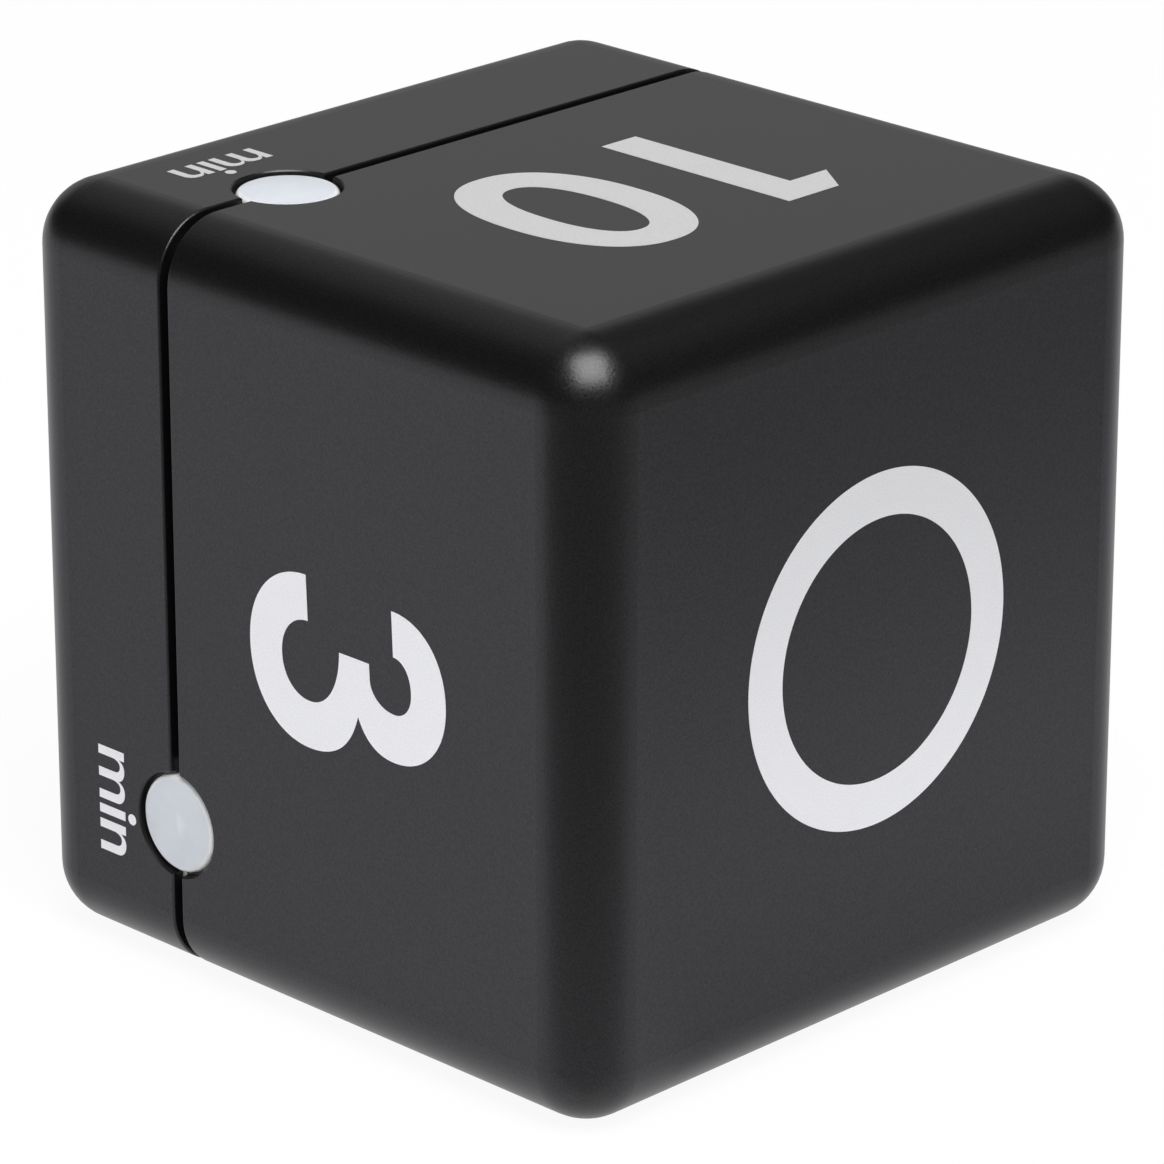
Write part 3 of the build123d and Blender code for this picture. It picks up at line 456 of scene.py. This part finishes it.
def plate_mesh(face, strips, low=-ink_sink, high=ink_height):
    """Vertices and quads of plates: a box section carried along each pair of edge curves."""
    vertices, quads, count = [], [], 0
    for first, second, closed in strips:
        first, second = np.asarray(first, float), np.asarray(second, float)
        steps = len(first)
        corners = [(first, low), (first, high), (second, high), (second, low)]
        rows = [face.points(c[:, 0], c[:, 1], np.full(steps, z)) for c, z in corners]
        grid = np.stack(rows, axis=1)
        turns = steps if closed else steps - 1
        i = np.arange(turns)[:, None]
        j = np.arange(4)[None, :]
        here, there = i, (i + 1) % steps
        quad = np.stack([
            4 * here + j, 4 * here + (j + 1) % 4, 4 * there + (j + 1) % 4, 4 * there + j
        ], axis=-1).reshape(-1, 4)
        if not closed:
            last = 4 * (steps - 1)
            quad = np.vstack([quad, [[3, 2, 1, 0]], [[last, last + 1, last + 2, last + 3]]])
        side = second[:-1] - first[:-1]
        way = first[1:] - first[:-1] + second[1:] - second[:-1]
        if np.sum(side[:, 0] * way[:, 1] - side[:, 1] * way[:, 0]) > 0:
            quad = quad[:, ::-1]
        vertices.append(grid.reshape(-1, 3))
        quads.append(quad + count)
        count += 4 * steps
    return np.vstack(vertices), np.vstack(quads)


def lay(name, face, strips, material, body="case", low=-ink_sink, high=ink_height):
    """Makes the strips one piece, laid on the face, that rides on a body."""
    vertices, quads = plate_mesh(face, strips, low, high)
    mesh = bpy.data.meshes.new(name)
    mesh.from_pydata(vertices.tolist(), [], quads.tolist())
    mesh.validate()
    mesh.materials.append(material)
    piece = bpy.data.objects.new(name, mesh)
    bpy.context.scene.collection.objects.link(piece)
    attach(piece, body)


curve_steps = 24


def line(start, end, steps=curve_steps):
    """Straight run between two points."""
    t = np.linspace(0, 1, steps)[:, None]
    return (1 - t) * np.array(start) + t * np.array(end)


def bend(start, end, upright, power=2.0, steps=curve_steps):
    """Quarter of a superellipse that leaves its start upright or level: |x|^p + |y|^p = 1."""
    t = np.linspace(0, pi / 2, steps)
    grow, fade = np.sin(t) ** (2 / power), np.cos(t) ** (2 / power)
    (x0, y0), (x1, y1) = start, end
    if upright:
        return np.stack([x1 + (x0 - x1) * fade, y0 + (y1 - y0) * grow], axis=1)
    return np.stack([x0 + (x1 - x0) * grow, y1 + (y0 - y1) * fade], axis=1)


def lean(start, pull, end, steps=curve_steps):
    """Parabola from start to end that leaves and arrives in line with the pull point."""
    t = np.linspace(0, 1, steps)[:, None]
    return (1 - t) ** 2 * np.array(start) + 2 * t * (1 - t) * np.array(pull) + t ** 2 * np.array(end)


def hold(point, steps=curve_steps):
    """A curve that stays at one point, opposite a run on the other edge."""
    return line(point, point, steps)


def ring(centre, outer, inner, power=2.0, steps=96):
    """Closed strip between two superellipses of the given half widths and half heights."""
    t = np.linspace(0, 2 * pi, steps, endpoint=False)
    c, s = np.cos(t), np.sin(t)
    unit = np.stack([np.sign(c) * abs(c) ** (2 / power), np.sign(s) * abs(s) ** (2 / power)], axis=1)
    return np.array(centre) + unit * np.array(outer), np.array(centre) + unit * np.array(inner), True


def bar(x0, y0, x1, y1):
    """Upright or level rectangle."""
    return line((x0, y0), (x0, y1), 2), line((x1, y0), (x1, y1), 2), False


def figure_one(left, top=15.79, foot=-4.19, pen=3.79, flag=3.45):
    """The 1: a stem with a flag whose end is cut on a slant."""
    stem = left + 7.87
    outer = np.array([(left + 2.33, top), (stem, top), (stem, foot)])
    inner = np.array([(left, top - flag), (stem - pen, top - flag), (stem - pen, foot)])
    return [(outer, inner, False)]


def figure_three():
    """The 3: one stroke round two lobes, that fans out from the notch to the arm between them."""
    outer = np.vstack([
        bend((-6.05, 10.46), (0.24, 16.18), True, 2.1),
        bend((0.24, 16.18), (6.05, 10.66), False, 2.1),
        lean((6.05, 10.66), (6.05, 7.9), (3.44, 6.73)),
        hold((3.44, 6.73), 6),
        lean((3.44, 6.73), (7.51, 5.6), (7.51, 1.45)),
        bend((7.51, 1.45), (0.24, -5.09), True, 2.1),
        bend((0.24, -5.09), (-6.44, 1.21), False, 2.1),
    ])
    inner = np.vstack([
        bend((-2.42, 10.61), (0.145, 12.50), True, 2.1),
        bend((0.145, 12.50), (2.18, 10.66), False, 2.1),
        bend((2.18, 10.66), (0.0, 8.05), True, 2.0, 18),
        line((0.0, 8.05), (-1.16, 7.99), 6),
        line((-1.16, 7.99), (-1.16, 4.75), 6),
        bend((-1.16, 4.75), (3.68, 1.45), False, 2.1),
        bend((3.68, 1.45), (0.39, -1.55), True, 2.1),
        bend((0.39, -1.55), (-2.76, 1.36), False, 2.1),
    ])
    return [(outer, inner, False)]


def moved(strips, across, up):
    """The strips, moved across and up their face."""
    step = np.array([across, up])
    return [(first + step, second + step, closed) for first, second, closed in strips]


def figure_five():
    """The 5: a bar and a leaning stem, then a bowl that starts at the stem's foot."""
    outer = np.vstack([line((5.9, 16.27), (-4.9, 16.27), 4), line((-4.9, 16.27), (-6.1, 5.4), 4)])
    inner = np.vstack([line((5.9, 12.7), (-1.9, 12.7), 4), line((-1.9, 12.7), (-2.6, 5.4), 4)])
    bowl_out = np.vstack([
        bend((-2.35, 8.0), (1.0, 9.4), True, 2.0, 12),
        bend((1.0, 9.4), (7.4, 2.4), False, 2.1),
        bend((7.4, 2.4), (0.3, -5.09), True, 2.1),
        bend((0.3, -5.09), (-6.5, 1.2), False, 2.1),
    ])
    bowl_in = np.vstack([
        bend((-2.6, 5.4), (0.5, 6.1), True, 2.0, 12),
        bend((0.5, 6.1), (3.5, 2.3), False, 2.1),
        bend((3.5, 2.3), (0.35, -1.55), True, 2.1),
        bend((0.35, -1.55), (-2.7, 1.3), False, 2.1),
    ])
    return [(outer, inner, False), (bowl_out, bowl_in, False)]


def figure_seven():
    """The 7: a bar whose right end turns down into a bowed leg."""
    foot = -4.02
    outer = np.vstack([
        line((-6.9, 16.27), (6.9, 16.27), 4),
        line((6.9, 16.27), (6.9, 13.0), 4),
        lean((6.9, 13.0), (0.6, 5.2), (-0.1, foot)),
    ])
    inner = np.vstack([
        line((-6.9, 12.6), (2.5, 12.6), 4),
        hold((2.5, 12.6), 4),
        lean((2.5, 12.6), (-3.6, 4.6), (-4.2, foot)),
    ])
    return [(outer, inner, False)]


def small_arch(left, right, foot, height, stem):
    """Arch of an n or m and the stem that it comes down in, from the stem before it."""
    top = foot + height
    crown = (left + right + stem) / 2
    outer = np.vstack([
        lean((left, top - 0.62), (left + 0.32, top), (crown - 0.1, top), 12),
        bend((crown - 0.1, top), (right + stem, top - 0.95), False, 2.2, 12),
        line((right + stem, top - 0.95), (right + stem, foot), 3),
    ])
    inner = np.vstack([
        lean((left, top - 1.25), (left + 0.12, top - 0.5), (crown - 0.35, top - 0.5), 12),
        bend((crown - 0.35, top - 0.5), (right, top - 1.12), False, 2.2, 12),
        line((right, top - 1.12), (right, foot), 3),
    ])
    return outer, inner, False


def unit_min(left, foot, height=3.0, stem=0.75, step=1.88):
    """The unit: m, i and n in small letters."""
    gap_before_i, gap_before_n = 0.49, 0.52
    dot_rise, dot_radius, dot_hole = 0.8, 0.46, 0.001
    i_left = left + 2 * step + stem + gap_before_i
    n_left = i_left + stem + gap_before_n
    strips = [
        bar(left, foot, left + stem, foot + height),
        small_arch(left + stem, left + step, foot, height, stem),
        small_arch(left + step + stem, left + 2 * step, foot, height, stem),
        bar(i_left, foot, i_left + stem, foot + height),
        bar(n_left, foot, n_left + stem, foot + height),
        small_arch(n_left + stem, n_left + step, foot, height, stem),
    ]
    dot_middle = (i_left + stem / 2, foot + height + dot_rise)
    dot = ring(dot_middle, (dot_radius, dot_radius), (dot_hole, dot_hole), steps=24)
    return strips + [dot]


def lay_figures(ink):
    """The printed figure of each face, and its unit on the four time faces."""
    narrow_zero = ring((6.51, 5.62), outer=(6.96, 10.5), inner=(3.18, 6.94), power=2.25)
    round_zero = ring((0.24, 0.35), outer=(14.27, 14.27), inner=(10.58, 10.58), steps=192)
    across, up = -0.53, 0.24
    lay("print_ten", faces["ten"], figure_one(left=-14.13) + [narrow_zero], ink)
    lay("print_three", faces["three"], moved(figure_three(), across, up), ink)
    lay("print_five", faces["five"], moved(figure_five(), across, up), ink)
    lay("print_seven", faces["seven"], figure_seven(), ink)
    lay("print_zero", faces["zero"], [round_zero], ink)
    unit = unit_min(left=13.31, foot=-23.44, height=2.8, stem=0.69, step=1.83)
    lay("print_min_ten", faces["ten"], unit, ink)
    for name in ("three", "five", "seven"):
        lay("print_min_" + name, faces[name], unit_min(left=13.72, foot=-22.86), ink)


# ON and OFF beside the slide switch

def letter_o(left, foot, width, height, pen):
    """The O: one ring, a little squarer than an ellipse."""
    centre = (left + width / 2, foot + height / 2)
    outer, inner = (width / 2, height / 2), (width / 2 - pen, height / 2 - pen)
    return [ring(centre, outer, inner, power=2.4, steps=48)]


def letter_f(left, foot, width, height, pen):
    """The F: a stem and two arms."""
    waist = foot + height / 2
    return [
        bar(left, foot, left + pen, foot + height),
        bar(left + pen, foot + height - pen, left + width, foot + height),
        bar(left + pen, waist - pen / 2, left + width - pen / 2, waist + pen / 2),
    ]


def letter_n(left, foot, width, height, pen):
    """The N: two stems and the slant between them."""
    top = foot + height
    slant_height = pen * 1.4
    slant = (
        np.array([(left + pen, top), (left + width - pen, foot + pen)]),
        np.array([(left + pen, top - slant_height), (left + width - pen, foot)]),
        False,
    )
    return [bar(left, foot, left + pen, top), bar(left + width - pen, foot, left + width, top), slant]


def lay_switch_words(ink):
    """OFF and ON, on both sides of the dish of the slide switch, as seen from the display side."""
    face = faces["display"]
    pen, height, pitch, f_pitch = 0.27, 1.5, 1.42, 1.22
    width, f_width = 1.15, 0.9
    low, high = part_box("switch_knob")
    foot = ((low.z + high.z) / 2 - half) / mm - height / 2
    dish_middle, off_gap, on_gap = -15.0, 6.35, 6.5
    off_left = dish_middle - off_gap - 3 * pitch
    off = letter_o(off_left, foot, width, height, pen)
    off += letter_f(off_left + pitch, foot, f_width, height, pen)
    off += letter_f(off_left + pitch + f_pitch, foot, f_width, height, pen)
    lay("print_off", face, off, ink)
    on_left = dish_middle + on_gap
    on = letter_o(on_left, foot, width, height, pen) + letter_n(on_left + pitch, foot, width, height, pen)
    lay("print_on", face, on, ink)


# Border of the display window

def rounded_outline(width, height, radius, steps=12):
    """Closed outline of a rectangle whose corners are quarter circles."""
    across, up = width / 2 - radius, height / 2 - radius
    corners = []
    for turn, (x, y) in enumerate([(across, up), (-across, up), (-across, -up), (across, -up)]):
        angle = np.linspace(0, pi / 2, steps) + turn * pi / 2
        corners.append(np.stack([x + radius * np.cos(angle), y + radius * np.sin(angle)], axis=1))
    return np.vstack(corners)


def lay_window_border():
    """Black border printed on the back of the window, over the ledge that the window lies on."""
    low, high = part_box("display_window")
    centre = (low + high) / 2
    face = Face((0, 1, 0), (0, 0, 1), Vector((0, low.y, centre.z)), 0)
    width, height = (high.x - low.x) / mm, (high.z - low.z) / mm
    margin, corner = 0.15, 1.5
    outer = rounded_outline(width - 2 * margin, height - 2 * margin, corner)
    inner = rounded_outline(width - 2 * window_border, height - 2 * window_border, corner)
    lay("window_border", face, [(outer, inner, True)], black_screen_print(), low=0.01, high=0.03)


# Figures of the display

def segment(x0, y0, x1, y1, pen):
    """Six-cornered bar of a figure, between the two points at its tips."""
    start, end = np.array([x0, y0], float), np.array([x1, y1], float)
    way = (end - start) / np.linalg.norm(end - start)
    side = np.array([-way[1], way[0]]) * pen / 2
    inset = way * pen / 2
    tip = 0.02
    spine = np.array([start, start + inset, end - inset, end])
    wide = np.array([[tip], [1], [1], [tip]]) * side
    return spine + wide, spine - wide, False


lit_segments = {"0": "abcdef", "1": "bc"}


def display_figure(character, left, foot, width, height, pen, gap=0.14):
    """Figure of up to six bars, as the 0 and the 1 need no bar across their middle."""
    right, top, waist = left + width, foot + height, foot + height / 2
    bars = {
        "a": (left + gap, top, right - gap, top),
        "b": (right, top - gap, right, waist + gap),
        "c": (right, waist - gap, right, foot + gap),
        "d": (left + gap, foot, right - gap, foot),
        "e": (left, waist - gap, left, foot + gap),
        "f": (left, top - gap, left, waist + gap),
    }
    return [segment(*bars[name], pen) for name in lit_segments[character]]


def lay_display_figures(ink):
    """The time that the display shows, minutes and seconds, just behind the window."""
    lcd_low, lcd_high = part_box("lcd_panel")
    centre = (lcd_low + lcd_high) / 2
    face = Face((0, 1, 0), (0, 0, 1), Vector((0, lcd_high.y, centre.z)), 0)
    width, height, pen, pitch = 4.6, 9.6, 1.0, 7.2
    colon_left, colon_side, colon_rise = -0.75, 0.9, 1.9
    strips = []
    for place, character in zip((-2.1, -1.1, 0.45, 1.45), "1000"):
        strips += display_figure(character, place * pitch, -height / 2, width, height, pen)
    for level in (-colon_rise, colon_rise):
        foot = level - colon_side / 2
        strips.append(bar(colon_left, foot, colon_left + colon_side, foot + colon_side))
    lay("display_figures", face, strips, ink, low=0.01, high=0.03)


# Studio

def stage_mesh(name, vertices, quads, material):
    """Makes a piece of the studio, which is no part of the timer."""
    mesh = bpy.data.meshes.new(name)
    mesh.from_pydata(vertices.tolist(), [], quads.tolist())
    mesh.materials.append(material)
    piece = bpy.data.objects.new(name, mesh)
    bpy.context.scene.collection.objects.link(piece)
    return piece


def ray_kinds(tree, *kinds):
    """1 for a ray of any of the given kinds, else 0."""
    path = add(tree, "LightPath")
    total = path.outputs[kinds[0]]
    for kind in kinds[1:]:
        total = add(tree, "Math", links={0: total, 1: path.outputs[kind]}, operation="MAXIMUM").outputs[0]
    return total


seen_rays = ("Is Camera Ray", "Is Glossy Ray", "Is Transmission Ray")
white_light = (1, 1, 1, 1)
cool_white = (1, 1, 1.06, 1)


def make_floor():
    """Plain pale floor that blends into the background and keeps the cube's shadow."""
    reach, drop = 3.0, 0.0001
    glow_strength, glow_share = 1.03, 0.9
    corners = np.array([(-reach, -reach, 0), (reach, -reach, 0), (reach, reach, 0), (-reach, reach, 0)])
    material = bpy.data.materials.new("floor_paper")
    material.use_nodes = True
    tree = material.node_tree
    tree.nodes.clear()
    paper = add(tree, "BsdfDiffuse", {"Color": linear("#e4e4e4")})
    glow = add(tree, "Emission", {"Color": white_light, "Strength": glow_strength})
    share = add(tree, "Math", {1: glow_share}, {0: ray_kinds(tree, *seen_rays)}, operation="MULTIPLY")
    mix = add(tree, "MixShader", links={0: share.outputs[0], 1: paper.outputs[0], 2: glow.outputs[0]})
    add(tree, "OutputMaterial", links={"Surface": mix.outputs[0]})
    floor = stage_mesh("floor", corners, np.array([[0, 1, 2, 3]]), material)
    floor.location.z = -drop


def make_world():
    """Even surroundings: white where they are seen directly, dim in reflections, and plain as a light."""
    world = bpy.data.worlds.new("studio")
    bpy.context.scene.world = world
    world.use_nodes = True
    tree = world.node_tree
    tree.nodes.clear()
    strengths = {"seen": 1.0, "mirrored": 0.03, "light": 0.44}
    shades = {
        name: add(tree, "Background", {"Color": white_light, "Strength": strength}).outputs[0]
        for name, strength in strengths.items()
    }
    glossy = ray_kinds(tree, "Is Glossy Ray")
    direct = ray_kinds(tree, "Is Camera Ray", "Is Transmission Ray")
    unseen = add(tree, "MixShader", links={0: glossy, 1: shades["light"], 2: shades["mirrored"]})
    mix = add(tree, "MixShader", links={0: direct, 1: unseen.outputs[0], 2: shades["seen"]})
    add(tree, "OutputWorld", links={"Surface": mix.outputs[0]})


def lamp_light(name, direction, distance, size, power):
    """Round lamp that points at the cube's middle and lights matt surfaces alone."""
    data = bpy.data.lights.new(name, "AREA")
    data.shape = "DISK"
    data.size = size
    data.energy = power
    lamp = bpy.data.objects.new(name, data)
    way = Vector(direction).normalized()
    lamp.location = middle + way * distance
    lamp.rotation_euler = way.to_track_quat("Z", "Y").to_euler()
    lamp.visible_glossy = False
    bpy.context.scene.collection.objects.link(lamp)


def softbox_face(name, direction, distance, size, glow):
    """Square white face of a softbox, as reflections show it."""
    way = Vector(direction).normalized()
    across = Vector((0, 0, 1)).cross(way).normalized()
    up = way.cross(across)
    place = middle + way * distance
    signs = ((-1, -1), (1, -1), (1, 1), (-1, 1))
    card(name, [place + (across * x + up * y) * size / 2 for x, y in signs], glow)


# Along the direction, a card keeps its own glow up to `near` and reaches the fade's glow at `far`
Fade = namedtuple("Fade", "direction near far glow")


def card(name, corners, glow, fade=None, colour=white_light):
    """Studio card that only reflections show: white at a glow of 1, black at 0."""
    material = bpy.data.materials.new(name)
    material.use_nodes = True
    tree = material.node_tree
    tree.nodes.clear()
    face = add(tree, "Emission", {"Color": colour, "Strength": glow})
    if fade:
        place = add(tree, "TexCoord").outputs["Object"]
        along = add(
            tree, "VectorMath", {1: fade.direction}, {0: place}, operation="DOT_PRODUCT"
        ).outputs["Value"]
        strength = add(
            tree, "MapRange",
            {"From Min": fade.near, "From Max": fade.far, "To Min": glow, "To Max": fade.glow},
            {"Value": along},
        ).outputs["Result"]
        tree.links.new(strength, face.inputs["Strength"])
    add(tree, "OutputMaterial", links={"Surface": face.outputs[0]})
    piece = stage_mesh(name, np.array(corners), np.array([[0, 1, 2, 3]]), material)
    piece.visible_camera = False
    piece.visible_diffuse = False
    piece.visible_transmission = False
    piece.visible_shadow = False


def floor_card(name, places, glow, fade, height=0.0005):
    """Card that lies just above the floor, with its corners at the given places."""
    card(name, [(x, y, height) for x, y in places], glow, fade, cool_white)


# Way from the cube to the lamp, and to the softbox that reflections show
lamp_way = (-0.29, -0.46, 0.84)
softbox_way = (-0.233, -0.3895, 0.891)


def make_studio():
    """Floor, surroundings and lamp, and the cards that give each face of the cube what it mirrors."""
    make_floor()
    make_world()
    lamp_light("softbox_lamp", lamp_way, distance=0.9, size=0.5, power=6.25)
    softbox_face("softbox_face", softbox_way, distance=0.9, size=0.75, glow=9.8)
    card(
        "white_backdrop", [(1.2, 0.1, 0), (0.1, 1.2, 0), (0.1, 1.2, 0.55), (1.2, 0.1, 0.55)],
        glow=0.43, fade=Fade(direction=(0, 0, 1), near=0.26, far=0.46, glow=0.82),
    )
    card(
        "pale_wall_left", [(0.59, 0.59, 0.58), (-0.31, 0.78, 0.58), (-0.2, 0.49, 0.88), (0.37, 0.37, 0.88)],
        glow=0.36, fade=Fade(direction=(-1, 0, 0), near=-0.1, far=0.3, glow=0.2),
    )
    floor_card(
        "dark_card_front", [(-half, -half), (-0.9, 0.4), (-1.2, -1.2), (0.4, -0.9)],
        glow=0.75, fade=Fade(direction=(-0.71, -0.71, 0), near=0.045, far=0.14, glow=0.25),
    )
    floor_card(
        "grey_card_right", [(-half, -half), (0.4, -0.9), (1.2, -0.9), (0.6, -half)],
        glow=1.02, fade=Fade(direction=(0.35, -0.94, 0), near=0.07, far=0.16, glow=0.42),
    )
    floor_card(
        "contact_shade_right", [(-0.02, -half), (0.0, -0.055), (0.12, -0.055), (0.1, -half)],
        glow=0.8, fade=Fade(direction=(0, -1, 0), near=0.04, far=0.055, glow=0.95), height=0.001,
    )
    floor_card(
        "pale_card_left", [(-half, -half), (-half, 0.9), (-0.9, 0.9), (-0.9, 0.4)],
        glow=1.14, fade=Fade(direction=(0.81, 0.58, 0), near=-0.06, far=-0.01, glow=0.86),
    )


place_camera()
finish_nodes()
silver, white = silver_ink(), white_ink()
lay_figures(silver)
lay_switch_words(white)
lay_window_border()
lay_display_figures(display_ink())
make_studio()
bpy.context.scene.view_settings.view_transform = "Standard"
